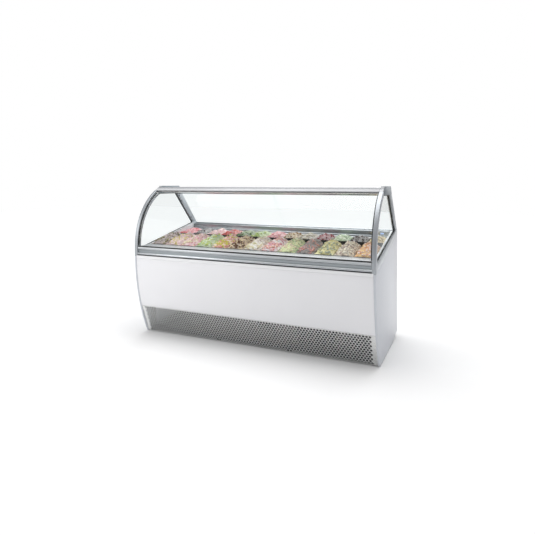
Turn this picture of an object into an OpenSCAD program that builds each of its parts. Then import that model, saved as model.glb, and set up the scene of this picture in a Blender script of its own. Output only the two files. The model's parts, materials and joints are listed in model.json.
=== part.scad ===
// Ice cream dipping cabinet: curved glass display over two rows of lift-out pans.
// +Z is up, the customer's side faces -Y, and the origin is on the floor under the middle.

/* [Cabinet] */
// Overall length, left to right
body_w = 2250; // [2250:1:2400]
// Overall depth, front rail to service edge
body_d = 1030; // [1030:1:1050]
// Height of the end caps, the highest point
body_h = 1408; // [1400:1:1410]
// Gap between the panels and the floor
floor_gap = 6; // [4:1:8]
// Thickness of a side panel
panel_t = 18; // [16:1:20]

/* [Front curve] */
// Height where the lower front curve stands upright
bow_z = 780; // [770:1:790]
// Radius of the lower front curve
bow_r = 1765; // [1740:1:1790]
// Height where the arches and the front glass start to lean back
arch_z = 852; // [850:1:856]
// Outer radius of the end arches
arch_r = 590; // [586:1:594]
// Radial depth of an arch profile
arch_depth = 52; // [48:1:56]
// Width of the arch, side rail and pillar profiles
frame_w = 30; // [28:1:30]

/* [Front] */
// Height of the perforated grille's top edge
grille_top = 270; // [262:1:276]
// Hole diameter in the grille
hole_d = 20; // [12:1:21]
// Sideways pitch of the grille holes
hole_pitch = 26.25; // [25:0.25:30]
// Height of the top edge of the front panel
panel_top = 730; // [726:1:732]
// Height of the bottom edge of the front rail
rail_low = 758; // [754:1:760]

/* [Pans] */
// Pans in each row
columns = 13; // [13:1:13]
// Sideways pitch of the pans
pan_pitch = 166; // [165:0.5:166]
// Width of a pan over its rim
pan_w = 163; // [162:0.5:163.5]
// Length of a pan over its rim, front to back
pan_l = 360; // [358:1:360]
// Depth of a pan
pan_depth = 110; // [80:1:120]
// Rise of the pan deck towards the back, in degrees
deck_tilt = 5.5; // [4:0.5:6]
// Height of the divider between the rows, above the rims
divider_h = 40; // [20:1:60]
// Height of the heaped ice cream above the rims, front row
heap_h = 68; // [40:1:70]
// Height of the heaped ice cream above the rims, rear row
rear_heap_h = 42; // [40:1:70]
// Depth position of the front edge of the front row
deck_y = -335; // [-336:1:-330]
// Height of that edge
deck_z = 848; // [846:1:850]

/* [Glass] */
// Thickness of the curved front glass
glass_t = 6; // [5:1:6]
// Thickness of a side glass
side_t = 5; // [4:1:6]
// Thickness of a sliding door
door_t = 5; // [4:0.5:5.5]
// Lean of the rear pillars and doors from upright, in degrees
rear_lean = 43.1; // [43:0.1:43.2]

/* [Refrigeration] */
// Outer radius of the condenser fan
fan_r = 112; // [100:1:116]
// Radius of the compressor shell
shell_r = 88; // [80:1:92]

/* [Hidden] */
$fn = 64;
skin = 1.5;
row_gap = 4;
half_w = body_w / 2;
front_y = -body_d / 2;
back_y = body_d / 2;
panel_in = half_w - panel_t;
frame_in = half_w - frame_w;
bow_y = front_y + bow_r;
arch_y = front_y + arch_r;
arch_in_r = arch_r - arch_depth;
arch_in_y = arch_y - arch_in_r;
deck_end = 2 * pan_l + row_gap;
cap_bottom = 1334;
cap_w = 30;
cap_front = -188;
canopy_in = half_w - cap_w;
canopy_low = 1353;
canopy_high = 1397;
nose_z = canopy_low + 12;
rear_rail_y = 425;
rear_rail_top = 1004;
rear_rail_low = 930;
track_seat = 960;
track_up = -42.5;
tub_in = 1081;
tub_out = panel_in;
tub_front = -450;
tub_back = 450;
tub_low = 400;
well_front = -352;
well_back = 400;
well_floor = 460;
hinge_y = front_y + 6.5;
hinge_z = 819;
pin_r = 4;
running = 0.05;
glass_in = frame_in - 4;
door_base_y = 417.7;
door_base_z = 992.2;
door_overlap = 15;
door_end = frame_in - 3;
fan_x = 560;
fan_y = -92;
fan_z = 212;
tray_top = 59;
inlet_x = -930;
inlet_z = 300;
back_panel_y = 493;
back_panel_t = 12;

steel = [0.78, 0.79, 0.80];
alu = [0.66, 0.68, 0.69];
white = [0.90, 0.90, 0.91];
grey = [0.80, 0.81, 0.83];
black = [0.08, 0.08, 0.09];
clear = [0.80, 0.90, 0.90, 0.35];
scoops = [[0.72, 0.62, 0.63], [0.90, 0.75, 0.76], [0.91, 0.66, 0.70], [0.72, 0.82, 0.62],
          [0.88, 0.56, 0.50], [0.80, 0.70, 0.47], [0.90, 0.87, 0.80], [0.92, 0.62, 0.68],
          [0.76, 0.84, 0.55], [0.38, 0.27, 0.23], [0.93, 0.88, 0.62], [0.72, 0.60, 0.48],
          [0.95, 0.76, 0.42]];

function pan_name(row, i) = str("pan_", row, "_", i < 10 ? "0" : "", i);
PAN_NAMES = [for (row = ["front", "rear"]) for (i = [1:13]) pan_name(row, i)];

// Lines that several pieces share: the top of the side panels, the top of the side rails,
// and a point given by its place across and up the leaning rear opening.
function panel_line(y) = 752 + 0.19 * (y + 497);
function rail_line(y) = 824 + 0.2 * (y + 425);
function bow_at(z) = bow_y - sqrt(bow_r * bow_r - (z - bow_z) * (z - bow_z));
function deck(n, up) = [deck_y + n * cos(deck_tilt) - up * sin(deck_tilt),
                        deck_z + n * sin(deck_tilt) + up * cos(deck_tilt)];
function rear(n, up) = [door_base_y + n * cos(rear_lean) - up * sin(rear_lean),
                        door_base_z + n * sin(rear_lean) + up * cos(rear_lean)];

// Extrudes a side view (Y across, Z up) from x0 to x1.
module along_x(x0, x1) {
    translate([x0, 0, 0]) rotate([90, 0, 90]) linear_extrude(x1 - x0) children();
}

// Both ends of the cabinet: the child is the left piece, and its mirror image is the right one.
module both_ends() {
    children();
    mirror([1, 0, 0]) children();
}

// ---------------------------------------------------------------- body shell

module side_panel_profile() {
    intersection() {
        translate([bow_y, bow_z]) circle(bow_r, $fn = 360);
        polygon([[-560, floor_gap], [254, floor_gap], [back_y, 52],
                 [back_y, panel_line(back_y)], [-560, panel_line(-560)]]);
    }
}

module side_panel(x0) {
    color(grey) along_x(x0, x0 + panel_t) side_panel_profile();
}

module side_panel_left() {
    side_panel(-half_w);
}

module side_panel_right() {
    side_panel(panel_in);
}

// A curved sheet between two radii of the lower front curve.
module bow_sheet(x, inset, thick, z0, z1) {
    intersection() {
        difference() {
            along_x(-x, x) translate([bow_y, bow_z]) circle(bow_r - inset, $fn = 360);
            along_x(-x - 1, x + 1) translate([bow_y, bow_z]) circle(bow_r - inset - thick, $fn = 360);
        }
        translate([-x, -560, z0]) cube([2 * x, 300, z1 - z0]);
    }
}

module front_panel() {
    color(white) bow_sheet(panel_in - 1, 2, 16, grille_top + 2, panel_top);
}

module front_trim() {
    color(white) bow_sheet(panel_in - 1, 0, 14, panel_top + 1, rail_low - 1);
}

// The perforated sheet leans from its foot, behind the panels' toe, to the front panel.
module front_grille() {
    foot = bow_at(floor_gap) + 3;
    head = bow_at(grille_top) + 3;
    rise = grille_top - floor_gap;
    slope = sqrt(rise * rise + (foot - head) * (foot - head));
    lean = atan((foot - head) / rise);
    rows = 13;
    step = (slope - 14) / rows;
    across = floor((2 * panel_in - 50) / hole_pitch);
    color(steel) translate([0, foot, floor_gap]) rotate([90 + lean, 0, 0])
        translate([0, 0, -2]) linear_extrude(2) difference() {
            translate([-panel_in + 1, 0]) square([2 * panel_in - 2, slope]);
            for (r = [0:rows - 1])
                for (i = [0:across - 1 - r % 2])
                    translate([(i - (across - 1 - r % 2) / 2) * hole_pitch, 7 + (r + 0.5) * step])
                        circle(d = hole_d, $fn = 24);
        }
}

module louvre_holes(x0, x1, z0, rows) {
    count = 8;
    step = (x1 - x0) / count;
    for (r = [0:rows - 1])
        for (i = [0:count - 1])
            translate([x0 + i * step, z0 + r * 22]) square([step - 12, 9]);
}

module rear_panel() {
    color(grey) translate([0, back_panel_y + back_panel_t, 0]) rotate([90, 0, 0])
        linear_extrude(back_panel_t) difference() {
            translate([-panel_in + 1, 54]) square([2 * panel_in - 2, rear_rail_low - 59]);
            louvre_holes(250, 1000, 110, 10);
            louvre_holes(-700, 50, 110, 10);
            translate([inlet_x - 30, inlet_z - 20]) square([60, 40]);
        }
}

// ---------------------------------------------------------------- frame and tub

module tube(x, y, z) {
    cube([x, y, z]);
}

module base_frame() {
    low = 16;
    bar = 40;
    x = 1100;
    color([0.35, 0.36, 0.38]) union() {
        translate([-x, -318, low]) tube(2 * x, bar, bar);
        translate([-x, 440, low]) tube(2 * x, bar, bar);
        for (cx = [-x, -370, 330, x - bar])
            translate([cx, -318, low]) tube(bar, 798, bar);
        for (cx = [-x, x - bar])
            for (cy = [-318, 440])
                translate([cx, cy, low]) tube(bar, bar, tub_low - low);
        for (cy = [-318, 440])
            translate([-x, cy, tub_low - bar]) tube(2 * x, bar, bar);
        translate([-x, -318, low]) tube(2 * x, 798, 2);
        translate([-370, -300, low + bar]) tube(1200, 760, tray_top - low - bar);
    }
}

module foot() {
    cylinder(h = 8, r = 24);
    translate([0, 0, 8]) cylinder(h = 8, r = 6);
}

module levelling_feet() {
    color(black) for (x = [-1080, -350, 350, 1080])
        for (y = [-290, 460])
            translate([x, y, 0]) foot();
}

module tub() {
    color([0.93, 0.93, 0.93]) difference() {
        union() {
            along_x(-tub_out + 1, tub_out - 1) polygon([[tub_front, tub_low], [tub_back, tub_low],
                [tub_back, panel_line(tub_back) - 12], [tub_front, panel_line(tub_front) - 12]]);
            along_x(-frame_in + 1, frame_in - 1) polygon([[tub_front, tub_low],
                [rear_rail_y - 1, tub_low], [rear_rail_y - 1, 916], [well_front, 832],
                [tub_front, 832]]);
        }
        along_x(-tub_in, tub_in) polygon([[well_front, well_floor], [well_back, well_floor],
            [well_back, 1000], [well_front, 1000]]);
    }
}

// White frame between the glass and the pans: a front shelf, a rear strip and two side skirts.
module inner_ledge() {
    back = deck(deck_end, 0);
    front = deck(0, 0);
    color([0.97, 0.97, 0.97]) {
        along_x(-frame_in + 1, frame_in - 1) polygon([[-494, 834], [well_front, 834],
            [deck_y - 12, 838], [deck_y - 12, 846], [-494, 840]]);
        along_x(-tub_in, tub_in) polygon([[back[0] + 3, back[1]], [rear_rail_y - 1, back[1] + 4],
            [rear_rail_y - 1, back[1] + 9], [back[0] + 3, back[1] + 4]]);
        both_ends() along_x(-frame_in + 1, -tub_in - 2) polygon([[deck_y - 2, 835.5],
            [rear_rail_y - 2, 917.5], [rear_rail_y - 2, rail_line(rear_rail_y) - 5],
            [-262, rail_line(-262) - 4], [deck_y - 2, 847]]);
        both_ends() along_x(-frame_in - 6, -tub_in - 2) polygon([[deck_y - 8, rail_line(deck_y - 8) + 0.6],
            [418, rail_line(418) + 0.6], [418, rail_line(418) + 2.6],
            [deck_y - 8, rail_line(deck_y - 8) + 2.6]]);
    }
}

// Bars under the pan rims, with the divider that stands between the two rows.
module pan_rack() {
    low = -26;
    top = -1.8;
    x = tub_in;
    color(black) translate([0, deck_y, deck_z]) rotate([deck_tilt, 0, 0]) {
        translate([-x, -8, low]) cube([2 * x, 13.5, top - low]);
        translate([-x, pan_l - 5.2, low]) cube([2 * x, row_gap + 10.4, top - low]);
        translate([-x, deck_end - 5.5, low]) cube([2 * x, 13.5, top - low]);
        translate([-x + 2, pan_l + 1, top]) cube([2 * x - 4, 2, divider_h - top]);
    }
}

// ---------------------------------------------------------------- rails, arches, pillars

module front_rail() {
    color(alu) along_x(-frame_in, frame_in) polygon([[front_y + 7, rail_low], [front_y + 7, 766],
        [front_y + 1, 768], [front_y, 772], [front_y, 777], [front_y + 2, 781], [front_y + 8, 785],
        [front_y + 8, 804], [front_y + 3, 808], [front_y + 3, 812], [-497, 812], [-497, 833],
        [-470, 833], [-470, 762], [-476, rail_low]]);
}

// The customer's side stands up in front of the step that the lower door track sits on.
module rear_rail() {
    y = rear_rail_y;
    color(alu) along_x(-frame_in, frame_in) polygon([[y, rear_rail_low], [y, 938], [y + 4, 942],
        [y + 4, 975], [y, 979], [y, 983], [y + 3, 986], [458, 986], [462, 982], [462, track_seat],
        [back_y, track_seat], [back_y, rear_rail_low], [back_y - 6, rear_rail_low],
        [back_y - 6, rear_rail_low + 6], [y + 24, rear_rail_low + 6], [y + 24, rear_rail_low]]);
}

module side_rails() {
    color(alu) both_ends() along_x(-half_w, -frame_in) polygon([[arch_in_y, panel_line(arch_in_y)],
        [arch_in_y, rail_line(arch_in_y)], [419, rail_line(419)], [419, rear_rail_top],
        [back_y - 8, rear_rail_top], [back_y, rear_rail_top - 8], [back_y, panel_line(back_y)]]);
}

module arch_profile() {
    intersection() {
        translate([arch_y, arch_z]) difference() {
            circle(arch_r, $fn = 240);
            circle(arch_in_r, $fn = 240);
        }
        polygon([[-560, arch_z], [-400, arch_z], [-100, cap_bottom - 110], [-200, cap_bottom],
                 [cap_front, nose_z], [-560, nose_z]]);
    }
    polygon([[front_y, panel_line(front_y)], [arch_in_y, panel_line(arch_in_y)],
             [arch_in_y, arch_z], [front_y, arch_z]]);
}

// Each arch's foot has the bore that the front glass turns in, and a step over the front trim.
module end_arches() {
    color(alu) both_ends() difference() {
        along_x(-half_w, -frame_in) arch_profile();
        translate([-half_w + 14, hinge_y, hinge_z]) rotate([0, 90, 0])
            cylinder(h = frame_w, r = pin_r + running);
        translate([-panel_in, -560, 700]) cube([panel_in - frame_in + 1, 200, rail_low - 700]);
    }
}

module side_opening(inset) {
    intersection() {
        translate([arch_y, arch_z]) circle(arch_in_r - inset, $fn = 240);
        polygon([[-520, rail_line(-520) + inset * 1.02], [419 - inset * 0.7, rail_line(419) + inset * 0.9],
                 [419 - inset * 0.73, rear_rail_top - inset * 0.68],
                 [110 - inset * 0.73, cap_bottom - inset], [-520, cap_bottom - inset]]);
    }
}

module side_glasses() {
    color(clear) both_ends() along_x(-half_w + 15, -half_w + 15 + side_t) side_opening(6);
}

// Gaskets round the side glasses, and the strips that the front glass closes against.
module glass_seals() {
    color(black) {
        both_ends() along_x(-half_w + 11, -frame_in - 8) difference() {
            side_opening(0);
            side_opening(6);
        }
        along_x(-canopy_in, canopy_in) polygon([[-223.4, 1348], [-206, 1348], [-206, canopy_low],
            [-217, canopy_low - 1]]);
        both_ends() along_x(-frame_in, -glass_in + 6) intersection() {
            translate([arch_y, arch_z]) difference() {
                circle(arch_r - 11, $fn = 240);
                circle(arch_r - 17, $fn = 240);
            }
            polygon([[-560, arch_z], [-400, arch_z], [-160, 1290], [-240, 1341], [-560, 1341]]);
        }
    }
}

module rear_pillars() {
    color(alu) both_ends() along_x(-half_w, -frame_in) polygon([[110, cap_bottom], [208, cap_bottom],
        [495, rear_rail_top], [419, rear_rail_top]]);
}

module canopy() {
    color(white) along_x(-canopy_in, canopy_in) difference() {
        polygon([[-214, nose_z], [-183, 1382], [-181, 1383.5], [-154, canopy_high],
                 [158, canopy_high], [190, canopy_low], [-206, canopy_low]]);
        polygon([[-190, canopy_low + 4], [-160, canopy_high - 8], [-130, canopy_high - 4],
                 [-20, canopy_high - 4], [-20, canopy_low + 4]]);
        polygon([[-16, canopy_low + 4], [-16, canopy_high - 4], [136, canopy_high - 4],
                 [158, canopy_low + 4]]);
    }
}

module canopy_caps() {
    color(alu) both_ends() along_x(-half_w, -canopy_in) polygon([[-200, cap_bottom],
        [cap_front, nose_z], [-214, nose_z], [-183, 1382], [-181, 1383.5], [-152, 1399],
        [-142, body_h], [158, body_h], [164, 1402], [208, cap_bottom]]);
}

module lamp() {
    color([1, 1, 1]) along_x(-canopy_in + 20, canopy_in - 20) polygon([[-172, canopy_low],
        [-168, 1346], [-136, 1346], [-132, canopy_low]]);
}

// ---------------------------------------------------------------- rear doors

module door_tracks() {
    groove = door_t + 1.4;
    n1 = 29.3;
    n2 = 39.3;
    up = track_up;
    color(alu) {
        along_x(-frame_in, frame_in) polygon([[466, track_seat], rear(24, up), rear(n1, up),
            rear(n1, up - 12), rear(n1 + groove, up - 12), rear(n1 + groove, up), rear(n2, up),
            rear(n2, up - 12), rear(n2 + groove, up - 12), rear(n2 + groove, up), rear(52, up),
            [508, track_seat]]);
        along_x(-canopy_in, canopy_in) polygon([[116, canopy_low], rear(24, 430), rear(n1, 430),
            rear(n1, 441), rear(n1 + groove, 441), rear(n1 + groove, 430), rear(n2, 430),
            rear(n2, 441), rear(n2 + groove, 441), rear(n2 + groove, 430), rear(51, 430),
            [166, canopy_low]]);
    }
}

// A clear pane with an upright grip near its outer end; both are drawn in the door's own plane.
// The inner door's grip is low, so that it passes under the outer door.
module door(x0, x1, n, grip_x, grip_h) {
    translate([0, door_base_y, door_base_z]) rotate([rear_lean, 0, 0]) {
        color(clear) translate([x0, n, track_up - 11.5]) cube([x1 - x0, door_t, 493.5]);
        color(alu) translate([grip_x, n + door_t, 170]) difference() {
            cube([30, grip_h, 130]);
            translate([9, grip_h * 0.35, 10]) cube([12, grip_h, 110]);
        }
    }
}

module door_left() {
    door(-door_end, door_overlap, 30, -door_end + 6, 3.6);
}

module door_right() {
    door(-door_overlap, door_end, 40, door_end - 36, 16);
}

// ---------------------------------------------------------------- front glass

// The glass hangs in one ring of the arch circle, with a short upright foot below it.
module front_glass() {
    r = arch_r - 4;
    color(clear) along_x(-glass_in, glass_in) {
        intersection() {
            translate([arch_y, arch_z]) difference() {
                circle(r, $fn = 240);
                circle(r - glass_t, $fn = 240);
            }
            polygon([[-560, arch_z], [-400, arch_z], [-160, 1290], [-246, canopy_low - 1],
                     [-560, canopy_low - 1]]);
        }
        translate([front_y + 4, 828]) square([glass_t, arch_z - 828]);
    }
}

// Channel under the glass, with the barrel and end pins it turns on.
module glass_profile() {
    color(alu) {
        along_x(-glass_in, glass_in) {
            polygon([[front_y + 0.5, hinge_z], [front_y + 0.5, 826], [front_y + 2.4, 837],
                [front_y + 2.4, 848], [front_y + 3.7, 848], [front_y + 3.7, 827.5],
                [front_y + 10.3, 827.5], [front_y + 10.3, 848], [front_y + 12, 848],
                [front_y + 16, 837], [front_y + 16, hinge_z]]);
            translate([hinge_y, hinge_z]) circle(5.5);
        }
        both_ends() translate([-glass_in - 16, hinge_y, hinge_z]) rotate([0, 90, 0])
            cylinder(h = 17, r = pin_r);
    }
}

// ---------------------------------------------------------------- refrigeration

module compressor() {
    x = -40;
    y = 80;
    color([0.12, 0.12, 0.13]) {
        for (cx = [-110, 110])
            for (cy = [-80, 80])
                translate([x + cx, y + cy, tray_top]) cylinder(h = 17, r = 14);
        translate([x - 130, y - 96, tray_top + 17]) cube([260, 192, 5]);
        translate([x, y, tray_top + 22]) rotate_extrude() polygon([[0, 0], [shell_r - 14, 0], [shell_r, 14],
            [shell_r, 150], [shell_r - 10, 176], [shell_r - 34, 196], [0, 204]]);
    }
    color([0.72, 0.45, 0.32]) {
        translate([x - 40, y, 277]) cylinder(h = 100, r = 6);
        translate([x + 40, y, 277]) cylinder(h = 80, r = 5);
    }
}

// Finned block behind the grille, its fan shroud with a round mouth, and the motor on a bracket.
module condenser() {
    w = 320;
    h = 300;
    z0 = tray_top;
    color(alu) difference() {
        translate([fan_x - w / 2, fan_y - 130, z0]) cube([w, 62, h]);
        for (i = [0:30])
            translate([fan_x - w / 2 + 9 + i * 10, fan_y - 131, z0 + 12]) cube([4, 64, h - 24]);
    }
    color(black) {
        difference() {
            translate([fan_x - w / 2, fan_y - 68, z0]) cube([w, 88, h]);
            translate([fan_x, fan_y + 21, fan_z]) rotate([90, 0, 0]) cylinder(h = 90, r = fan_r + 6);
        }
        translate([fan_x, fan_y + 90, fan_z]) rotate([90, 0, 0]) cylinder(h = 60, r = 38);
        translate([fan_x, fan_y + 30, fan_z]) rotate([90, 0, 0]) cylinder(h = 34, r = 4);
        translate([fan_x - w / 2, fan_y + 90, fan_z - 20]) cube([w, 6, 40]);
        for (cx = [fan_x - w / 2, fan_x + w / 2 - 12])
            translate([cx, fan_y + 20, fan_z - 20]) cube([12, 70, 40]);
    }
}

module condenser_fan() {
    color([0.30, 0.31, 0.33]) translate([fan_x, fan_y, fan_z]) rotate([90, 0, 0]) {
        difference() {
            union() {
                translate([0, 0, -14]) cylinder(h = 32, r = 34);
                for (a = [0:72:359])
                    rotate([0, 0, a]) translate([24, 0, 0]) rotate([28, 0, 0])
                        translate([0, -34, -1.5]) cube([fan_r - 34, 68, 3]);
            }
            translate([0, 0, -15]) cylinder(h = 27, r = pin_r + running);
        }
    }
}

// Finned tube coil that lies under the pans.
module evaporator() {
    color(alu) union() {
        for (y = [-150, -90, -30, 30, 90, 150])
            translate([-860, y, 540]) rotate([0, 90, 0]) cylinder(h = 1720, r = 8, $fn = 32);
        for (i = [0:30])
            translate([-840 + i * 56 - 1, -190, 500]) cube([2, 380, 80]);
        for (x = [-868, 860])
            translate([x, -190, 500]) cube([8, 380, 80]);
    }
    color(black) for (x = [-700, 700])
        for (y = [-180, 160])
            translate([x - 10, y, well_floor]) cube([20, 20, 40]);
}

// ---------------------------------------------------------------- small parts

module power_inlet() {
    y = back_panel_y - 24;
    color(black) difference() {
        union() {
            translate([inlet_x - 30, y, inlet_z - 20]) cube([60, 38, 40]);
            translate([inlet_x - 36, back_panel_y + back_panel_t, inlet_z - 26]) cube([72, 3, 52]);
        }
        translate([inlet_x - 24, y + 22, inlet_z - 10]) cube([26, 30, 20]);
        translate([inlet_x + 8, y + 22, inlet_z - 13]) cube([16, 30, 26]);
        translate([inlet_x + 7, y + 34, inlet_z]) rotate([0, 90, 0]) cylinder(h = 20, r = 1.55);
    }
    color(steel) for (x = [-18, -11, -4])
        translate([inlet_x + x - 1.5, y + 22, inlet_z - 3]) cube([3, 14, 6]);
}

module rocker_switch() {
    y = back_panel_y + 10;
    color([0.75, 0.12, 0.10]) {
        along_x(inlet_x + 8.4, inlet_x + 23.6) polygon([[y - 5, inlet_z - 9], [y + 4, inlet_z - 11],
            [y + 6, inlet_z - 10.5], [y + 4, inlet_z], [y + 6, inlet_z + 10.5],
            [y + 4, inlet_z + 11], [y - 5, inlet_z + 9]]);
        translate([inlet_x + 7.4, y, inlet_z]) rotate([0, 90, 0]) cylinder(h = 17.2, r = 1.5);
    }
}

// Digital thermometer set in the customer's side of the rear rail.
module temperature_display() {
    color([0.55, 0.70, 0.95]) translate([1001, rear_rail_y, 960])
        translate([-15, -1, -7]) cube([30, 5, 14]);
}

module screw_head(axis, r) {
    rotate(axis) {
        cylinder(h = 2, r = r, $fn = 24);
        translate([0, 0, 2]) cylinder(h = 1.5, r1 = r, r2 = r * 0.6, $fn = 24);
    }
}

module screws() {
    color([0.30, 0.31, 0.32]) {
        both_ends() {
            for (u = [404, 330, 70])
                translate([-frame_in, rear(20, u)[0], rear(20, u)[1]]) screw_head([0, 90, 0], 7);
        }
        for (x = [-1080, -720, -360, 0, 360, 720, 1080])
            for (z = [80, 860])
                translate([x, back_panel_y + back_panel_t, z]) screw_head([-90, 0, 0], 6);
    }
}

// ---------------------------------------------------------------- pans

// One pan of pressed steel with its filling, drawn level with the rim plane at z = 0.
module filled_pan(i, crest) {
    flange = 6;
    w = pan_w - 2 * flange;
    l = pan_l - 2 * flange;
    lip = 5;
    color(steel) difference() {
        union() {
            translate([-pan_w / 2, 0, -skin]) cube([pan_w, pan_l, skin]);
            translate([-w / 2, flange, -pan_depth]) cube([w, l, pan_depth - skin]);
        }
        translate([-w / 2 + skin, flange + skin, -pan_depth + skin])
            cube([w - 2 * skin, l - 2 * skin, pan_depth + 1]);
    }
    color(scoops[(i - 1) % len(scoops)])
        filling(w / 2 - skin, flange + skin, pan_l - flange - skin, crest);
}

// The filling rises from the customer's end to a crest near the back of the pan.
module filling(half, y0, y1, crest) {
    low = -pan_depth + skin;
    intersection() {
        along_x(-half, half) polygon([[y0, low], [y1, low], [y1, -6], [y1 - 34, crest - 14],
            [y1 - 90, crest], [y1 - 190, crest - 8], [y0 + 60, 22], [y0 + 12, 12], [y0, 2]]);
        translate([0, y1, 0]) rotate([90, 0, 0]) linear_extrude(y1 - y0)
            polygon([[-half, low], [half, low], [half, 8], [half - 14, crest / 2], [half - 42, crest],
                     [42 - half, crest], [14 - half, crest / 2], [-half, 8]]);
    }
}

module pan(row, i) {
    x = (i - (columns + 1) / 2) * pan_pitch;
    start = deck(row == "front" ? 0 : pan_l + row_gap, 0);
    translate([x, start[0], start[1]]) rotate([deck_tilt, 0, 0])
        filled_pan(i, row == "front" ? heap_h : rear_heap_h);
}

// ---------------------------------------------------------------- the nodes

side_panel_left();
side_panel_right();
front_panel();
front_trim();
front_grille();
rear_panel();
base_frame();
levelling_feet();
tub();
inner_ledge();
pan_rack();
front_rail();
rear_rail();
side_rails();
end_arches();
side_glasses();
glass_seals();
rear_pillars();
canopy();
canopy_caps();
lamp();
door_tracks();
temperature_display();
rocker_switch();
compressor();
condenser();
condenser_fan();
evaporator();
power_inlet();
screws();
front_glass();
glass_profile();
door_left();
door_right();
for (row = ["front", "rear"])
    for (i = [1:columns])
        pan(row, i);
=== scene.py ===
# %% [markdown]
# # An ice cream dipping cabinet
# The cabinet stands in a shop or a food truck. A curved glass front and a flat canopy cover two
# rows of steel pans full of ice cream. Its measured parts come from a CAD model, and this lesson
# gives them their finishes and adds what CAD can't: ice cream, rounded edges, clear glass, light.

import json
import math

import bmesh
import bpy
from mathutils import Matrix, Vector

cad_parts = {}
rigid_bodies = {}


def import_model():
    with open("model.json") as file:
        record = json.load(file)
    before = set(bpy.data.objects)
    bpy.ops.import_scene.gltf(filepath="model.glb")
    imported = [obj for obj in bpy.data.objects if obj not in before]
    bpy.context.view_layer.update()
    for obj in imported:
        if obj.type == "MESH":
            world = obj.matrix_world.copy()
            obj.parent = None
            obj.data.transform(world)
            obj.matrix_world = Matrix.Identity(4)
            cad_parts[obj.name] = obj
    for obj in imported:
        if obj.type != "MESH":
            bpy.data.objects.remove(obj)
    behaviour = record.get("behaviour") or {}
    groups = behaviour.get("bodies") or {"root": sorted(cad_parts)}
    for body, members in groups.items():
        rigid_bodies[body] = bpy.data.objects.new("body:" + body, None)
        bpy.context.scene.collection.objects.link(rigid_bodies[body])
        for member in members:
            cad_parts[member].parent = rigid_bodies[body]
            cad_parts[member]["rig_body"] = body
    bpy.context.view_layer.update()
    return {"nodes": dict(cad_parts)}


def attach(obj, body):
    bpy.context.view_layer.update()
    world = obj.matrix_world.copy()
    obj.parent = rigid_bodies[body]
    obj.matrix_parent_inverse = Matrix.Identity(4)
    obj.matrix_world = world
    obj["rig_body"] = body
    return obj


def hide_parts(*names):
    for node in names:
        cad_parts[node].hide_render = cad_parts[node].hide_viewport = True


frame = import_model()
nodes = frame["nodes"]
bpy.ops.object.select_all(action="DESELECT")
print("measured parts:", len(nodes))

# %% [markdown]
# ## The camera
# It stands at eye height to the right of the cabinet and looks level. Lens shift lowers the
# picture instead of tilting the camera, which keeps the upright lines upright.

# %% Camera
EYE = (1.794, -3.974, 1.426)
LOOK_LEVEL = math.radians(90)
LOOK_LEFT = math.radians(24.15)
LENS = 31.1
LOWER_PICTURE = -0.156

bpy.ops.object.camera_add(location=EYE, rotation=(LOOK_LEVEL, 0, LOOK_LEFT))
camera = bpy.context.object
camera.data.lens = LENS
camera.data.shift_y = LOWER_PICTURE
bpy.context.scene.camera = camera
print("camera at", tuple(round(value, 3) for value in camera.location))

# %% [markdown]
# ## Light and floor
# White goods are shown in a bright tent: pale light from everywhere, with a few large lamps.
# Metal looks like metal only if it has something darker to reflect, so the tent is dimmer low
# down, while the backdrop itself stays white.

# %% Colour helper: everyday 0-255 colour to the linear values that shaders use
def paint(red, green, blue):
    def linear(value):
        value = value / 255
        return value / 12.92 if value <= 0.04045 else ((value + 0.055) / 1.055) ** 2.4
    return (linear(red), linear(green), linear(blue), 1.0)

# %% Tent of light
bpy.context.scene.view_settings.view_transform = "Standard"
tent = bpy.data.worlds.new("light_tent")
tent.use_nodes = True
bpy.context.scene.world = tent
TENT_LEVELS = ((0.0, 0.40), (0.50, 0.40), (0.56, 0.22), (0.68, 0.62), (1.0, 0.95))
TENT_STRENGTH = 0.82

tree = tent.node_tree
tree.nodes.clear()
place = tree.nodes.new("ShaderNodeTexCoord")
split = tree.nodes.new("ShaderNodeSeparateXYZ")
ramp = tree.nodes.new("ShaderNodeValToRGB")
for position, level in TENT_LEVELS:
    stop = ramp.color_ramp.elements[0] if position == 0 else ramp.color_ramp.elements.new(position)
    stop.position = position
    stop.color = (level, level, level * 1.01, 1)
ramp.color_ramp.elements[-1].color = (1, 1, 1, 1)
shift = tree.nodes.new("ShaderNodeMapRange")
shift.inputs["From Min"].default_value = -1
shift.inputs["From Max"].default_value = 1
soft = tree.nodes.new("ShaderNodeBackground")
soft.inputs["Strength"].default_value = TENT_STRENGTH
white = tree.nodes.new("ShaderNodeBackground")
white.inputs["Color"].default_value = (1, 1, 1, 1)
white.inputs["Strength"].default_value = 1.0
path = tree.nodes.new("ShaderNodeLightPath")
mixer = tree.nodes.new("ShaderNodeMixShader")
out = tree.nodes.new("ShaderNodeOutputWorld")
tree.links.new(place.outputs["Generated"], split.inputs[0])
tree.links.new(split.outputs["Z"], shift.inputs["Value"])
tree.links.new(shift.outputs[0], ramp.inputs[0])
tree.links.new(ramp.outputs[0], soft.inputs["Color"])
tree.links.new(path.outputs["Is Camera Ray"], mixer.inputs[0])
tree.links.new(soft.outputs[0], mixer.inputs[1])
tree.links.new(white.outputs[0], mixer.inputs[2])
tree.links.new(mixer.outputs[0], out.inputs[0])

# %% Lamps
def lamp(name, place, target, width, height, power):
    bpy.ops.object.light_add(type="AREA", location=place)
    light = bpy.context.object
    light.name = name
    light.data.shape = "RECTANGLE"
    light.data.size = width
    light.data.size_y = height
    light.data.energy = power
    light.rotation_euler = (Vector(target) - Vector(place)).to_track_quat("-Z", "Y").to_euler()
    print(name, power, "W")
    return light


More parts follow.
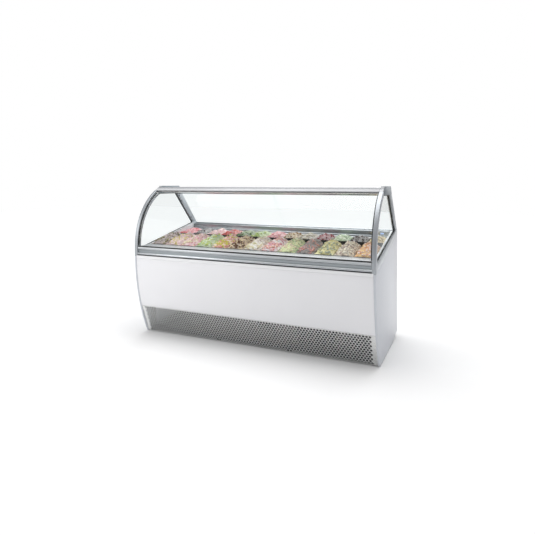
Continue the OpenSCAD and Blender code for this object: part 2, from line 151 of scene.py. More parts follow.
lamp("overhead", (0.0, 0.2, 3.6), (0, 0, 0.8), 4.2, 2.6, 90)
lamp("left_bank", (-2.5, -2.4, 1.8), (-0.7, -0.4, 0.6), 1.8, 1.6, 24)
lamp("rear_wash", (0.4, 3.2, 2.2), (0, 0, 0.9), 4.0, 2.0, 40)

# %% Floor
bpy.ops.mesh.primitive_plane_add(size=40, location=(0, 0, 0))
floor = bpy.context.object
floor.name = "floor"

# %% [markdown]
# ## Writing finishes as sums
# A finish is a small network of shader nodes. `Wire` stands for one socket and understands
# + - * /, and `Finish.node` makes any other node, so that each recipe below reads like a formula.

# %% Wire and Finish
class Wire:
    """A socket that can be added, subtracted, multiplied and divided."""

    def __init__(self, finish, socket):
        self.finish = finish
        self.socket = socket

    def maths(self, operation, first, second):
        return self.finish.node("ShaderNodeMath", {"operation": operation}, {0: first, 1: second})

    def __add__(self, other):
        return self.maths("ADD", self, other)

    def __sub__(self, other):
        return self.maths("SUBTRACT", self, other)

    def __mul__(self, other):
        return self.maths("MULTIPLY", self, other)

    def __truediv__(self, other):
        return self.maths("DIVIDE", self, other)

    def __radd__(self, other):
        return self.maths("ADD", other, self)

    def __rsub__(self, other):
        return self.maths("SUBTRACT", other, self)

    def __rmul__(self, other):
        return self.maths("MULTIPLY", other, self)


class Finish:
    """A material that is built up node by node."""

    def __init__(self, name, **constants):
        self.material = bpy.data.materials.new(name)
        self.material.use_nodes = True
        self.tree = self.material.node_tree
        self.surface = self.tree.nodes["Principled BSDF"]
        self.place = self.node("ShaderNodeTexCoord", {}, {}, "Object")
        self.wear(**constants)

    def plug(self, socket, value):
        if isinstance(value, Wire):
            self.tree.links.new(value.socket, socket)
        else:
            socket.default_value = value

    def node(self, kind, settings, sockets, output=0):
        made = self.tree.nodes.new(kind)
        for key, value in settings.items():
            if key == "stops":
                band = made.color_ramp
                for index, (position, colour) in enumerate(value):
                    stop = band.elements[index] if index < 2 else band.elements.new(position)
                    stop.position = position
                    stop.color = colour
            else:
                setattr(made, key, value)
        for key, value in sockets.items():
            self.plug(made.inputs[key], value)
        return Wire(self, made.outputs[output])

    def wear(self, **values):
        for key, value in values.items():
            self.plug(self.surface.inputs[key.replace("_", " ")], value)
        return self

    def stretched(self, x, y, z):
        return self.node("ShaderNodeVectorMath", {"operation": "MULTIPLY"}, {0: self.place, 1: (x, y, z)})

    def noise(self, scale, detail=3.0, roughness=0.5, vector=None, distortion=0.0):
        where = self.place if vector is None else vector
        return self.node("ShaderNodeTexNoise", {}, {"Vector": where, "Scale": scale, "Detail": detail,
                                                    "Roughness": roughness, "Distortion": distortion})

    def band(self, value, low, high):
        return self.node("ShaderNodeMapRange", {"interpolation_type": "SMOOTHSTEP"},
                         {"Value": value, "From Min": low, "From Max": high})

    def mix(self, factor, first, second):
        made = self.tree.nodes.new("ShaderNodeMix")
        made.data_type = "RGBA"
        self.plug(made.inputs[0], factor)
        self.plug(made.inputs[6], first)
        self.plug(made.inputs[7], second)
        return Wire(self, made.outputs[2])

    def bump(self, height, strength, distance):
        return self.node("ShaderNodeBump", {}, {"Strength": strength, "Distance": distance,
                                                "Height": height})

    def cells(self, scale):
        return self.node("ShaderNodeTexVoronoi", {"feature": "F1"},
                         {"Vector": self.place, "Scale": scale}, "Distance")

# %% [markdown]
# ## Painted and moulded finishes
# The front and sides are steel sheet, sprayed white and grey. Sprayed paint is never quite flat:
# it has a fine orange peel, and the gloss changes a little from place to place.

# %% Sprayed paint
def sprayed(name, colour, shade, roughness, coat=0.15):
    finish = Finish(name, Coat_Roughness=0.15, Coat_Weight=coat)
    cloud = finish.noise(1.6, 2.0)
    peel = finish.noise(620.0, 1.0)
    finish.wear(Base_Color=finish.mix(cloud, colour, shade),
                Roughness=finish.noise(7.0, 4.0) * 0.10 + (roughness - 0.05),
                Normal=finish.bump(peel, 0.10, 0.0004))
    return finish.material


white_paint = sprayed("white_paint", paint(238, 238, 240), paint(232, 232, 235), 0.32)
grey_paint = sprayed("grey_paint", paint(204, 207, 213), paint(197, 200, 207), 0.36)
trim_plastic = sprayed("trim_plastic", paint(240, 240, 242), paint(234, 234, 236), 0.30)
# The fascia takes two tones of one grey paint: the lighter on its front face, and a darker copy on the
# upward-facing nose, painted shade that counters the overhead lamp.
fascia_white = sprayed("fascia_white", paint(186, 187, 189), paint(180, 181, 184), 0.40, 0.05)
nose_painted_shade = sprayed("nose_painted_shade", paint(144, 146, 149), paint(138, 140, 144), 0.42, 0.05)
shelf_grey = sprayed("shelf_grey", paint(196, 198, 200), paint(188, 190, 193), 0.38)
ledge_plastic = sprayed("ledge_plastic", paint(232, 234, 235), paint(224, 226, 228), 0.34)
chassis_paint = sprayed("chassis_paint", paint(62, 64, 68), paint(48, 50, 54), 0.45, 0.0)
black_enamel = sprayed("black_enamel", paint(30, 31, 33), paint(22, 23, 25), 0.38)
tub_plastic = sprayed("tub_plastic", paint(214, 215, 217), paint(196, 198, 202), 0.42, 0.0)

# %% Floor paint: beyond the lamps' reach it brightens into the white backdrop
floor_finish = Finish("floor_paint", Roughness=0.85, Emission_Strength=0.42)
GLOW_STARTS = 1.5
GLOW_FULL = 5.0

distance = floor_finish.node("ShaderNodeVectorMath", {"operation": "LENGTH"},
                             {0: floor_finish.place}, "Value")
mottle = floor_finish.noise(3.0, 2.0)
far = floor_finish.band(distance, GLOW_STARTS, GLOW_FULL)
floor_finish.wear(Base_Color=floor_finish.mix(mottle, paint(250, 250, 250), paint(247, 247, 247)),
                  Emission_Color=floor_finish.mix(far, (0, 0, 0, 1), (1, 1, 1, 1)))
floor.data.materials.append(floor_finish.material)
print("floor paint ready")

# %% Black plastic and rubber: a fine grain that scatters the light
def grained(name, colour, shade, roughness, grain=900.0):
    finish = Finish(name)
    speckle = finish.noise(grain, 2.0)
    finish.wear(Base_Color=finish.mix(speckle, colour, shade),
                Roughness=speckle * 0.16 + (roughness - 0.08),
                Normal=finish.bump(speckle, 0.35, 0.0003))
    return finish.material


black_plastic = grained("black_plastic", paint(26, 27, 29), paint(36, 37, 39), 0.42)
# Rubber for the seals and the glazing lip; the same black also paints the shadow in the bumper's lowest
# recess.
rubber_and_painted_shadow = grained("rubber_and_painted_shadow", paint(20, 20, 21), paint(34, 34, 35), 0.62, 600.0)
fan_plastic = grained("fan_plastic", paint(52, 54, 58), paint(44, 46, 50), 0.48)
red_plastic = grained("red_plastic", paint(168, 24, 20), paint(150, 18, 16), 0.28, 400.0)

# %% [markdown]
# ## Metals
# The rails and arches are extruded aluminium with a satin anodised skin. Drawing the metal
# through a die leaves faint lines along it, so the noise is stretched along X. The arches are
# bent, and a fine even grain suits them better. The grille is stainless steel.

# %% Satin metal
def satin_metal(name, colour, shade, roughness, lines=(6, 420, 420), depth=0.12):
    finish = Finish(name, Metallic=1.0)
    drawn = finish.noise(1.0, 3.0, 0.6, finish.stretched(*lines))
    patch = finish.noise(5.0, 3.0)
    finish.wear(Base_Color=finish.mix(drawn * 0.6 + patch * 0.4, colour, shade),
                Roughness=drawn * 0.14 + patch * 0.06 + (roughness - 0.10),
                Normal=finish.bump(drawn, depth, 0.0003))
    return finish.material


rail_metal = satin_metal("rail_metal", paint(186, 190, 193), paint(170, 174, 178), 0.30)
# Painted highlight: a lighter copy of the rail metal for the thin beads that catch the light.
bead_painted_highlight_metal = satin_metal("bead_painted_highlight_metal", paint(228, 231, 233), paint(214, 218, 221), 0.34)
# Painted shade: a darker copy of the rail metal for concave bands and recesses that sit in shade.
recess_painted_shade_metal = satin_metal("recess_painted_shade_metal", paint(160, 166, 169), paint(144, 150, 154), 0.34)
cap_metal = satin_metal("cap_metal", paint(126, 134, 140), paint(110, 118, 125), 0.42, (260, 260, 260))
arch_metal = satin_metal("arch_metal", paint(174, 178, 182), paint(158, 162, 167), 0.46, (260, 260, 260))
canopy_skin = satin_metal("canopy_skin", paint(228, 229, 231), paint(214, 216, 219), 0.42)
grille_steel = satin_metal("grille_steel", paint(232, 232, 231), paint(214, 215, 215), 0.28, (40, 300, 300))
pan_steel = satin_metal("pan_steel", paint(92, 94, 97), paint(66, 68, 71), 0.30, (90, 500, 90))
screw_metal = satin_metal("screw_metal", paint(64, 65, 68), paint(44, 45, 48), 0.35, (300, 300, 300))
fin_metal = satin_metal("fin_metal", paint(200, 203, 206), paint(180, 184, 188), 0.38, (500, 60, 60))
# Painted shade: the condenser fins get a dark metal for the shadow they sit in behind the grille.
fins_painted_shade = satin_metal("fins_painted_shade", paint(56, 58, 61), paint(42, 44, 47), 0.50, (500, 60, 60))
copper = satin_metal("copper", paint(190, 118, 82), paint(164, 98, 66), 0.30, (200, 200, 200))

# %% [markdown]
# ## Glass, lamp and display
# A thin pane hardly bends the view, so light passes straight through it and only a faint
# reflection stays on top. That reflection grows at grazing angles. Layer Weight's Facing output
# gives the angle and, unlike Fresnel, treats both faces of the pane alike.

# %% Clear pane
def clear_pane(name, tint, veil, grazing, clearness):
    finish = Finish(name, Metallic=1.0, Base_Color=tint)
    finish.wear(Roughness=finish.noise(9.0, 3.0) * 0.04 + 0.02)
    edge_on = finish.node("ShaderNodeLayerWeight", {}, {"Blend": 0.5}, "Facing")
    squared = edge_on * edge_on
    passed = (clearness * 0.992, clearness, clearness, 1)
    through = finish.node("ShaderNodeBsdfTransparent", {}, {"Color": passed})
    mirror = Wire(finish, finish.surface.outputs[0])
    share = squared * squared * grazing + veil
    blend = finish.node("ShaderNodeMixShader", {}, {0: share, 1: through, 2: mirror})
    finish.tree.links.new(blend.socket, finish.tree.nodes["Material Output"].inputs["Surface"])
    return finish.material


front_pane = clear_pane("front_pane", paint(240, 246, 247), 0.010, 0.16, 0.994)
side_pane = clear_pane("side_pane", paint(232, 242, 244), 0.012, 0.20, 0.968)
door_pane = clear_pane("door_pane", paint(240, 245, 248), 0.010, 0.20, 0.992)

# %% Lamp cover and display
def glowing(name, colour, shade, glow, strength):
    finish = Finish(name, Roughness=0.25, Emission_Strength=strength)
    grain = finish.noise(300.0, 2.0)
    finish.wear(Base_Color=finish.mix(grain, colour, shade), Emission_Color=finish.mix(grain, glow, shade))
    return finish.material


lamp_cover = glowing("lamp_cover", paint(250, 250, 246), paint(240, 240, 236), paint(255, 252, 244), 2.2)
display_face = glowing("display_face", paint(170, 196, 240), paint(130, 164, 226), paint(190, 212, 255), 0.6)

# %% [markdown]
# ## Rounding the sharp edges
# CAD edges are perfectly sharp, and real ones catch a thin line of light. Most parts are copied,
# the copy's loose triangles are merged into whole faces, and a small bevel rounds its edges. This
# tears the louvred back and the welded base, so both keep the mesh that was measured, as do the
# grille, the panes and other parts whose edges are too fine to round.

# %% Rounded copies of measured parts
def take(piece):
    if bpy.context.object and bpy.context.object.mode != "OBJECT":
        bpy.ops.object.mode_set(mode="OBJECT")
    bpy.ops.object.select_all(action="DESELECT")
    piece.select_set(True)
    bpy.context.view_layer.objects.active = piece


def modify(piece, kind, **settings):
    take(piece)
    change = piece.modifiers.new(kind.lower(), kind)
    for key, value in settings.items():
        setattr(change, key, value)
    bpy.ops.object.modifier_apply(modifier=change.name)


def rounded(node, name, material, edge=0.001, smooth=30, segments=2):
    piece = nodes[node].copy()
    piece.data = nodes[node].data.copy()
    piece.parent = None
    for key in list(piece.keys()):
        del piece[key]
    piece.name = name
    bpy.context.scene.collection.objects.link(piece)
    take(piece)
    bpy.ops.object.mode_set(mode="EDIT")
    bpy.ops.mesh.select_all(action="SELECT")
    bpy.ops.mesh.remove_doubles(threshold=0.00001)
    bpy.ops.mesh.dissolve_limited(angle_limit=math.radians(0.6))
    bpy.ops.object.mode_set(mode="OBJECT")
    if edge:
        modify(piece, "BEVEL", width=edge, segments=segments, limit_method="ANGLE",
               angle_limit=math.radians(28), use_clamp_overlap=True, miter_outer="MITER_ARC")
    take(piece)
    bpy.ops.object.shade_smooth_by_angle(angle=math.radians(smooth))
    dress(piece, material)
    body = nodes[node]["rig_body"]
    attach(piece, body)
    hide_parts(node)
    return piece


def dress(piece, *materials):
    piece.data.materials.clear()
    for material in materials:
        piece.data.materials.append(material)


# %% Body shell, rails, arches and canopy
rounded_parts = [
    ("side_panel_left", "left_side_sheet", grey_paint, 0.0012),
    ("side_panel_right", "right_side_sheet", grey_paint, 0.0012),
    ("front_panel", "front_sheet", white_paint, 0.0012),
    ("front_trim", "front_trim_strip", trim_plastic, 0.0016),
    ("inner_ledge", "pan_surround", ledge_plastic, 0.0008),
    ("pan_rack", "pan_support_bars", black_plastic, 0.0008),
    ("front_rail", "front_bumper_rail", rail_metal, 0.0010),
    ("rear_rail", "service_rail", rail_metal, 0.0015),
    ("side_rails", "sloping_side_rails", rail_metal, 0.0014),
    ("end_arches", "bent_end_arches", arch_metal, 0.0022),
    ("rear_pillars", "slanting_pillars", arch_metal, 0.0018),
    ("canopy_caps", "canopy_end_caps", cap_metal, 0.0020),
    ("canopy", "canopy_shelf", canopy_skin, 0.0014),
    ("door_tracks", "sliding_door_tracks", rail_metal, 0.0005),
    ("glass_profile", "glass_foot_profile", rail_metal, 0.0005),
    ("lamp", "lamp_diffuser_bar", lamp_cover, 0.0015),
    ("temperature_display", "thermometer", display_face, 0.0008),
    ("power_inlet", "mains_inlet", black_plastic, 0.0004),
    ("rocker_switch", "mains_switch", red_plastic, 0.0004),
    ("levelling_feet", "levelling_feet_pads", black_plastic, 0.0010),
    ("compressor", "hermetic_compressor", black_enamel, 0.0020),
]
for node, name, material, edge in rounded_parts:
    piece = rounded(node, name, material, edge)
    print(name, len(piece.data.polygons), "faces")

# %% Parts whose measured mesh already has its final shape
# The condenser takes the dark fin metal, painted shade for fins that sit in shadow behind the grille.
plain_parts = {
    "front_grille": grille_steel, "tub": tub_plastic, "side_glasses": side_pane,
    "front_glass": front_pane, "glass_seals": rubber_and_painted_shadow, "screws": screw_metal,
    "condenser": fins_painted_shade, "condenser_fan": fan_plastic, "evaporator": fin_metal,
    "base_frame": chassis_paint, "rear_panel": grey_paint,
    "door_left": door_pane, "door_right": door_pane,
}
for node, material in plain_parts.items():
    take(nodes[node])
    bpy.ops.object.shade_smooth_by_angle(angle=math.radians(30))
    dress(nodes[node], material)
print("kept as measured:", ", ".join(plain_parts))

# %% Second finishes on one part: copper pipes, black fan shroud, rubber lips, painted shade in recesses and on the canopy nose, and painted highlights on the beads
def repaint(piece, material, wanted):
    piece.data.materials.append(material)
    count = 0
    for face in piece.data.polygons:
        if wanted(face.center):
            face.material_index = len(piece.data.materials) - 1
            count += 1
    print(piece.name, "faces repainted:", count)


repaint(bpy.data.objects["hermetic_compressor"], copper,
        lambda centre: centre.z > 0.2805 and abs(centre.y - 0.08) < 0.007)
repaint(nodes["condenser"], black_plastic, lambda centre: centre.y > -0.1599)
bumper = bpy.data.objects["front_bumper_rail"]
# Painted shade: the bumper's concave middle band gets the darker rail metal.
repaint(bumper, recess_painted_shade_metal, lambda centre: 0.7830 < centre.z < 0.8060 and centre.y < -0.5)
# Painted highlight: the thin bead below that band gets the lighter rail metal.
repaint(bumper, bead_painted_highlight_metal, lambda centre: 0.7765 < centre.z < 0.7830 and centre.y < -0.5)
# Painted shadow: the bumper's recessed lowest face gets the black rubber colour for the shadow gap above the
# trim.
repaint(bumper, rubber_and_painted_shadow, lambda centre: centre.z < 0.7668 and centre.y < -0.5)
foot = bpy.data.objects["glass_foot_profile"]
# Painted highlight: the bead on the glass foot gets the lighter rail metal.
repaint(foot, bead_painted_highlight_metal, lambda centre: 0.8262 < centre.z < 0.8368 and centre.y < -0.5085)
repaint(foot, rubber_and_painted_shadow, lambda centre: centre.z > 0.8370)
# Painted shade: a band on the service rail gets the darker rail metal.
repaint(bpy.data.objects["service_rail"], recess_painted_shade_metal,
        lambda centre: centre.y < 0.4305 and 0.941 < centre.z < 0.976)
shelf = bpy.data.objects["canopy_shelf"]
repaint(shelf, fascia_white, lambda centre: centre.y < -0.1822 and centre.z > 1.3535)
# Painted shade: the upward-facing nose of the shelf gets the darker copy of the fascia paint.
repaint(shelf, nose_painted_shade, lambda centre: -0.1822 < centre.y < -0.1550 and centre.z > 1.3825)
CAP_MIDDLE = 1.11
CAP_HALF = 0.0145


def on_cap_edge(centre):
    """True on the narrow faces of a cap, and false on its two flat sides."""
    return abs(abs(centre.x) - CAP_MIDDLE) < CAP_HALF


caps = bpy.data.objects["canopy_end_caps"]
repaint(caps, fascia_white,
        lambda centre: centre.y < -0.1840 and centre.z > 1.3655 and on_cap_edge(centre))
# Painted shade: the same darker copy on the upward-facing nose of each cap.
repaint(caps, nose_painted_shade,
        lambda centre: -0.1800 < centre.y < -0.1440 and centre.z > 1.3840 and on_cap_edge(centre))
repaint(bpy.data.objects["pan_surround"], shelf_grey, lambda centre: centre.y < -0.3400)

# %% [markdown]
# ## A pan
# Each pan is pressed from thin steel, 165 mm wide and 360 mm long, with round corners and a rim
# that hangs on the rack. A box is the start: its top is removed, its upright and lower edges are
# rounded, and the open edge is drawn outwards for the rim. Solidify gives the sheet its thickness.

# %% Edit-mode helpers
def pick(piece, kind, wanted):
    shape = bmesh.from_edit_mesh(piece.data)
    bpy.ops.mesh.select_all(action="DESELECT")
    found = 0
    for item in getattr(shape, kind):
        if wanted(item):
            item.select_set(True)
            found += 1
    shape.select_flush_mode()
    bmesh.update_edit_mesh(piece.data)
    return found


def settle(piece, name):
    take(piece)
    bpy.ops.object.transform_apply(location=True, rotation=True, scale=True)
    piece.name = name
    return piece

# %% Pan shell
PAN_L = 0.360
PAN_DEPTH = 0.110
WELL_W = 0.148
WELL_L = PAN_L - 0.015
SHEET = 0.0012

bpy.ops.mesh.primitive_cube_add(size=1, location=(0, PAN_L / 2, -PAN_DEPTH / 2),
                                scale=(WELL_W, WELL_L, PAN_DEPTH))
pan_shell = settle(bpy.context.object, "pan_shell")
bpy.ops.object.mode_set(mode="EDIT")
bpy.ops.mesh.select_mode(type="FACE")
pick(pan_shell, "faces", lambda face: face.normal.z > 0.9)
bpy.ops.mesh.delete(type="FACE")
bpy.ops.mesh.select_mode(type="EDGE")
pick(pan_shell, "edges", lambda edge: abs(edge.verts[0].co.z - edge.verts[1].co.z) > 0.05)
bpy.ops.mesh.bevel(offset=0.018, segments=5, affect="EDGES")
pick(pan_shell, "edges", lambda edge: max(v.co.z for v in edge.verts) < -PAN_DEPTH + 0.001
     and len(edge.link_faces) == 2
     and abs(edge.link_faces[0].normal.z - edge.link_faces[1].normal.z) > 0.5)
bpy.ops.mesh.bevel(offset=0.012, segments=3, affect="EDGES")
pick(pan_shell, "edges", lambda edge: edge.is_boundary)
bpy.ops.mesh.extrude_region_move()
bpy.ops.transform.resize(value=(1.060, 1.028, 1), center_override=(0, PAN_L / 2, 0))
bpy.ops.mesh.extrude_region_move()
bpy.ops.transform.resize(value=(1.020, 1.0090, 1), center_override=(0, PAN_L / 2, 0))
bpy.ops.transform.translate(value=(0, 0, -SHEET))
bpy.ops.object.mode_set(mode="OBJECT")
modify(pan_shell, "SOLIDIFY", thickness=SHEET, offset=-1)
modify(pan_shell, "BEVEL", width=0.0004, segments=1, limit_method="ANGLE", angle_limit=math.radians(40))
take(pan_shell)
bpy.ops.object.shade_smooth_by_angle(angle=math.radians(40))
print("pan", [round(value, 4) for value in pan_shell.dimensions], len(pan_shell.data.polygons), "faces")

# %% [markdown]
# ## The ice cream
# It is spooned in and worked into waves that rise towards the server. A fine grid is raised with
# proportional editing, as one would by hand, then Displace adds folds and small lumps. Its edge
# is drawn down inside the pan. Three different heaps are made and shared out along the rows.

# %% One heap
def raise_at(piece, x, y, height, reach):
    shape = bmesh.from_edit_mesh(piece.data)
    bpy.ops.mesh.select_all(action="DESELECT")
    nearest = min(shape.verts, key=lambda v: (v.co.x - x) ** 2 + (v.co.y - y) ** 2)
    nearest.select_set(True)
    shape.select_flush_mode()
    bmesh.update_edit_mesh(piece.data)
    bpy.ops.transform.translate(value=(0, 0, height), use_proportional_edit=True,
                                proportional_edit_falloff="SMOOTH", proportional_size=reach)


def folds(kind, size, depth=2):
    pattern = bpy.data.textures.new("folds", type=kind)
    if kind in ("CLOUDS", "MARBLE"):
        pattern.noise_depth = depth
    pattern.noise_scale = size
    return pattern


def raise_ridge(piece, start, stop, height, reach, falloff):
    pick(piece, "verts", lambda vertex: abs(vertex.co.x) < 0.0016 and start < vertex.co.y < stop)
    bpy.ops.transform.translate(value=(0, 0, height), use_proportional_edit=True,
                                proportional_edit_falloff=falloff, proportional_size=reach)


HEAPS = [
    [(0.030, 0.280, 0.016, 0.046), (-0.032, 0.250, 0.016, 0.046), (0.020, 0.200, 0.012, 0.040),
     (-0.026, 0.160, 0.012, 0.044), (0.022, 0.110, 0.012, 0.040), (-0.016, 0.070, 0.008, 0.036)],
    [(-0.028, 0.290, 0.014, 0.044), (0.026, 0.250, 0.018, 0.048), (-0.024, 0.205, 0.014, 0.042),
     (0.028, 0.155, 0.012, 0.040), (-0.020, 0.115, 0.014, 0.042), (0.014, 0.065, 0.008, 0.034)],
    [(0.0, 0.285, 0.016, 0.050), (0.034, 0.225, 0.014, 0.040), (-0.034, 0.220, 0.014, 0.040),
     (0.004, 0.165, 0.014, 0.042), (0.034, 0.105, 0.010, 0.036), (-0.032, 0.100, 0.010, 0.036)],
]
PATTERNS = [("CLOUDS", 0.026, 0.020), ("STUCCI", 0.030, 0.016), ("CLOUDS", 0.020, 0.018)]


HEAP_W = 0.1585
HEAP_L = PAN_L - 0.006
SKIRT = 0.030


def heap(number):
    bpy.ops.mesh.primitive_grid_add(x_subdivisions=54, y_subdivisions=112, size=1,
                                    location=(0, PAN_L / 2 - 0.001, 0.0015), scale=(1, 1, 1))
    piece = bpy.context.object
    piece.scale = (HEAP_W, HEAP_L, 1)
    settle(piece, "heap")
    bpy.ops.object.mode_set(mode="EDIT")
    bpy.ops.mesh.select_mode(type="VERT")
    raise_ridge(piece, 0.080, 0.290, 0.034, 0.078, "SPHERE")
    raise_ridge(piece, 0.190, 0.300, 0.016, 0.110, "SMOOTH")
    for x, y, height, reach in HEAPS[number]:
        raise_at(piece, x, y, height, reach)
    bpy.ops.mesh.select_mode(type="EDGE")
    pick(piece, "edges", lambda edge: edge.is_boundary)
    bpy.ops.mesh.extrude_region_move(TRANSFORM_OT_translate={"value": (0, 0, -SKIRT)})
    bpy.ops.transform.resize(value=(0.88, 0.95, 1), center_override=(0, PAN_L / 2, 0))
    bpy.ops.mesh.edge_face_add()
    bpy.ops.mesh.select_all(action="SELECT")
    bpy.ops.mesh.normals_make_consistent(inside=False)
    bpy.ops.object.mode_set(mode="OBJECT")
    top = piece.vertex_groups.new(name="top")
    for vertex in piece.data.vertices:
        margin = min(0.0792 - abs(vertex.co.x), vertex.co.y - 0.002, 0.356 - vertex.co.y)
        if vertex.co.z > 0.0005:
            top.add([vertex.index], min(1.0, max(0.06, margin / 0.02)), "REPLACE")
    return piece


heap_starts = [heap(number) for number in range(3)]
for start in heap_starts:
    print("heap", [round(value, 4) for value in start.dimensions], len(start.data.polygons), "faces")

# %% [markdown]
# ### What it is made of
# Ice cream is matte and a little translucent, with crystals that give a fine grain. A sauce or
# fruit ripple runs through it in folded streaks, which a twisted noise draws. Two sizes of
# Voronoi cells add pieces of fruit and dark flecks, and noise keeps them in patches.

# %% Ice cream finish
def ice_cream(name, body, ripple, share, pieces):
    finish = Finish(name, Subsurface_Weight=0.12, Subsurface_Radius=(0.006, 0.004, 0.003),
                    Subsurface_Scale=1.0, Specular_IOR_Level=0.35)
    folded = finish.noise(11.0, 3.0, 0.55, finish.stretched(1.0, 1.6, 2.0), 2.2)
    streak = finish.band(folded, 0.62 - share * 0.35, 0.72 - share * 0.35)
    crystals = finish.noise(340.0, 3.0, 0.65)
    dots = finish.band(finish.cells(75.0), 0.30, 0.22) * finish.band(finish.noise(14.0, 2.0), 0.50, 0.62)
    colour = finish.mix(streak, body, ripple)
    colour = finish.mix(0.17, colour, paint(240, 238, 236))
    colour = finish.mix(dots * 0.90, colour, pieces)
    flecks = finish.band(finish.cells(104.0), 0.24, 0.16) * finish.band(finish.noise(17.0, 2.0), 0.47, 0.56)
    colour = finish.mix(flecks * 0.80, colour, paint(88, 66, 54))
    shaded = finish.mix(finish.band(crystals, 0.30, 0.75) * 0.30, colour, (1, 1, 1, 1))
    finish.wear(Base_Color=shaded, Roughness=0.62 - streak * 0.22 - dots * 0.12,
                Normal=finish.bump(crystals * 0.5 + finish.noise(90.0, 3.0) + dots * 0.4, 0.55, 0.0016))
    return finish.material


FLAVOURS = {
    "front": [
        (paint(186, 160, 158), paint(140, 112, 106), 0.5, paint(112, 112, 70)),
        (paint(236, 208, 206), paint(214, 168, 168), 0.5, paint(226, 206, 140)),
        (paint(240, 206, 208), paint(206, 100, 116), 0.5, paint(240, 228, 200)),
        (paint(214, 226, 192), paint(132, 168, 88), 0.5, paint(232, 228, 160)),
        (paint(240, 214, 190), paint(206, 70, 52), 0.5, paint(150, 170, 70)),
        (paint(216, 188, 124), paint(150, 108, 60), 0.5, paint(72, 48, 34)),
        (paint(242, 236, 224), paint(160, 128, 96), 0.4, paint(222, 200, 120)),
        (paint(244, 232, 232), paint(196, 56, 96), 0.45, paint(220, 110, 60)),
        (paint(216, 222, 150), paint(140, 168, 74), 0.5, paint(236, 226, 206)),
        (paint(112, 84, 72), paint(66, 44, 36), 0.5, paint(226, 206, 196)),
        (paint(238, 226, 150), paint(198, 186, 70), 0.5, paint(70, 92, 48)),
        (paint(232, 216, 188), paint(130, 92, 62), 0.45, paint(84, 54, 36)),
        (paint(244, 196, 88), paint(224, 140, 40), 0.5, paint(240, 190, 180)),
    ],
    "rear": [
        (paint(232, 146, 156), paint(206, 78, 98), 0.5, paint(240, 220, 214)),
        (paint(120, 112, 112), paint(66, 60, 60), 0.5, paint(170, 160, 150)),
        (paint(238, 206, 204), paint(214, 150, 156), 0.5, paint(238, 226, 206)),
        (paint(214, 96, 84), paint(166, 38, 38), 0.6, paint(240, 212, 180)),
        (paint(136, 158, 100), paint(70, 96, 52), 0.5, paint(190, 60, 50)),
        (paint(196, 212, 152), paint(128, 160, 84), 0.5, paint(86, 60, 40)),
        (paint(236, 190, 194), paint(196, 70, 90), 0.5, paint(244, 236, 226)),
        (paint(206, 184, 142), paint(150, 120, 80), 0.5, paint(92, 66, 44)),
        (paint(198, 192, 178), paint(150, 140, 122), 0.5, paint(214, 200, 150)),
        (paint(150, 66, 76), paint(96, 24, 36), 0.5, paint(226, 200, 196)),
        (paint(206, 216, 184), paint(120, 156, 96), 0.5, paint(238, 232, 210)),
        (paint(76, 54, 46), paint(36, 24, 20), 0.5, paint(150, 120, 96)),
        (paint(226, 206, 130), paint(190, 152, 70), 0.5, paint(120, 110, 96)),
    ],
}
flavour_finishes = {}
for row, flavours in FLAVOURS.items():
    for index, recipe in enumerate(flavours):
        flavour_finishes[row, index] = ice_cream(f"ice_cream_{row}_{index + 1:02d}", *recipe)
print("flavours:", len(flavour_finishes))

# %% [markdown]
# ### Toppings
# Fruit, nuts and wafer pieces lie on each heap, mostly at the customer's end. Three small shapes
# are enough, and each topping is turned and sized differently. They have few faces, because
# there are hundreds of them.

# %% Topping shapes
def topping_shape(number):
    if number == 0:
        bpy.ops.mesh.primitive_ico_sphere_add(subdivisions=2, radius=0.0075)
    elif number == 1:
        bpy.ops.mesh.primitive_cube_add(size=0.013)
        bpy.ops.transform.resize(value=(1.0, 0.75, 0.35))
    else:
        bpy.ops.mesh.primitive_cone_add(vertices=7, radius1=0.008, radius2=0.004, depth=0.007)
    piece = bpy.context.object
    settle(piece, "topping")
    if number:
        modify(piece, "BEVEL", width=0.0016, segments=1)
    take(piece)
    bpy.ops.object.shade_smooth_by_angle(angle=math.radians(45))
    return piece


topping_shapes = [topping_shape(number) for number in range(3)]


def topping_finish(name, colour, shade):
    finish = Finish(name, Subsurface_Weight=0.1, Subsurface_Radius=(0.003, 0.002, 0.001))
    mottle = finish.noise(160.0, 3.0)
    finish.wear(Base_Color=finish.mix(mottle, colour, shade), Roughness=mottle * 0.3 + 0.25,
                Normal=finish.bump(mottle, 0.4, 0.001))
    return finish.material


TOPPINGS = {
    "front": [
        (paint(150, 150, 96), paint(108, 92, 66)), (paint(232, 216, 150), paint(206, 190, 110)),
        (paint(244, 236, 208), paint(226, 208, 170)), (paint(226, 232, 150), paint(168, 190, 92)),
        (paint(196, 206, 84), paint(228, 212, 104)), (paint(84, 54, 36), paint(120, 84, 52)),
        (paint(228, 210, 130), paint(232, 230, 220)), (paint(246, 240, 232), paint(232, 120, 70)),
        (paint(240, 228, 208), paint(228, 206, 176)), (paint(236, 210, 200), paint(190, 70, 66)),
        (paint(70, 96, 52), paint(236, 236, 220)), (paint(246, 242, 232), paint(226, 214, 192)),
        (paint(244, 206, 200), paint(248, 236, 220)),
    ],
    "rear": [
        (paint(206, 60, 70), paint(232, 120, 120)), (paint(70, 62, 60), paint(120, 110, 104)),
        (paint(240, 222, 214), paint(220, 180, 176)), (paint(186, 32, 34), paint(226, 90, 70)),
        (paint(52, 84, 40), paint(96, 130, 64)), (paint(150, 182, 96), paint(206, 216, 140)),
        (paint(214, 60, 84), paint(244, 226, 220)), (paint(176, 140, 92), paint(110, 80, 54)),
        (paint(190, 182, 160), paint(160, 150, 128)), (paint(110, 20, 34), paint(160, 60, 66)),
        (paint(132, 168, 96), paint(226, 230, 206)), (paint(40, 26, 22), paint(84, 60, 48)),
        (paint(206, 182, 96), paint(150, 136, 112)),
    ],
}

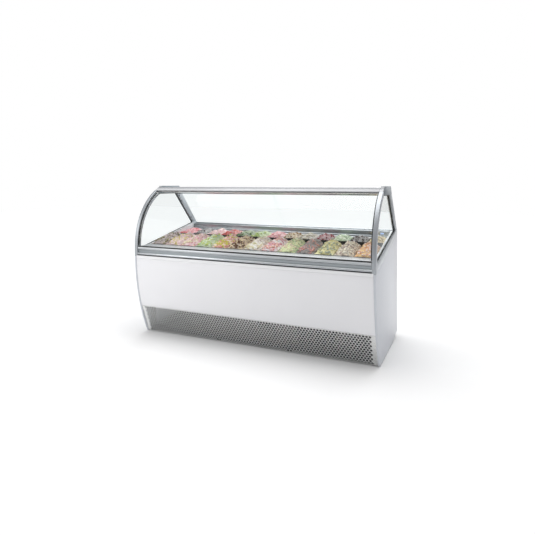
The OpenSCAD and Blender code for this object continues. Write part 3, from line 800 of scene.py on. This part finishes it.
# %% [markdown]
# ## Filling the rows
# A small number generator with a fixed start scatters the toppings, so that every run gives the
# same cabinet. Each pan, heap and topping group gets its own mesh, is tipped with the deck, and
# moves with its own pan.

# %% Fill every pan
DECK_Y = -0.335
DECK_Z = 0.848
DECK_TILT = math.radians(5.5)
PITCH = 0.166
REAR_HEAP = 0.58
TOPPINGS_PER_PAN = 60


class Dice:
    """Repeatable random numbers."""

    def __init__(self, start):
        self.state = start

    def roll(self, low=0.0, high=1.0):
        self.state = (self.state * 1103515245 + 12345) % 2147483648
        return low + (high - low) * self.state / 2147483648


def pan_place(row, index):
    along = 0.0 if row == "front" else PAN_L + 0.004
    x = (index - 6) * PITCH
    deck = Matrix.Translation((x, DECK_Y, DECK_Z)) @ Matrix.Rotation(DECK_TILT, 4, "X")
    return deck @ Matrix.Translation((0, along, 0))


def copy_of(piece, name):
    made = piece.copy()
    made.data = piece.data.copy()
    made.name = name
    bpy.context.scene.collection.objects.link(made)
    return made


def scatter(surface, dice, count):
    made = []
    for _ in range(count):
        front = dice.roll() < 0.62
        x = dice.roll(-0.066, 0.066)
        y = dice.roll(0.010, 0.105) if front else dice.roll(0.10, 0.30)
        hit, spot, normal, _face = surface.ray_cast((x, y, 0.3), (0, 0, -1))
        if not hit:
            continue
        chunk = copy_of(topping_shapes[int(dice.roll(0, 2.999))], "chunk")
        size = dice.roll(0.7, 1.5)
        turn = Matrix.Rotation(dice.roll(0, 6.28), 4, "Z") @ Matrix.Rotation(dice.roll(-0.8, 0.8), 4, "X")
        chunk.data.transform(Matrix.Translation(spot + normal * 0.002) @ turn @ Matrix.Scale(size, 4))
        made.append(chunk)
    take(made[0])
    for chunk in made:
        chunk.select_set(True)
    bpy.ops.object.join()
    return bpy.context.object


total_chunks = 0
for row in ("front", "rear"):
    for index in range(13):
        node = f"pan_{row}_{index + 1:02d}"
        where = pan_place(row, index)
        dice = Dice(977 * index + (31 if row == "front" else 5081))
        shell = copy_of(pan_shell, f"steel_{node}")
        shell.data.transform(where)
        dress(shell, pan_steel)
        number = (index * 2 + (row == "rear")) % 3
        filling = copy_of(heap_starts[number], f"ice_cream_{node}")
        if row == "rear":
            filling.data.transform(Matrix.Scale(REAR_HEAP, 4, (0, 0, 1)))
        kind, size, strength = PATTERNS[(index + (row == "rear") * 2) % 3]
        filling.data.transform(where)
        modify(filling, "DISPLACE", texture=folds(kind, size), texture_coords="LOCAL", strength=strength,
               mid_level=0.5, vertex_group="top", direction="NORMAL")
        modify(filling, "DISPLACE", texture=folds("CLOUDS", 0.009, 1), texture_coords="LOCAL",
               strength=0.006, mid_level=0.5, vertex_group="top", direction="NORMAL")
        filling.data.transform(where.inverted())
        take(filling)
        bpy.ops.object.shade_smooth()
        bits = scatter(filling, dice, TOPPINGS_PER_PAN)
        bits.name = f"toppings_{node}"
        filling.data.transform(where)
        bits.data.transform(where)
        dress(filling, flavour_finishes[row, index])
        dress(bits, topping_finish(f"topping_{row}_{index + 1:02d}", *TOPPINGS[row][index]))
        for piece in (shell, filling, bits):
            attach(piece, nodes[node]["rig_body"])
        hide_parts(node)
        total_chunks += len(bits.data.polygons)
for piece in [pan_shell, *heap_starts, *topping_shapes]:
    bpy.data.objects.remove(piece)
print("topping faces:", total_chunks)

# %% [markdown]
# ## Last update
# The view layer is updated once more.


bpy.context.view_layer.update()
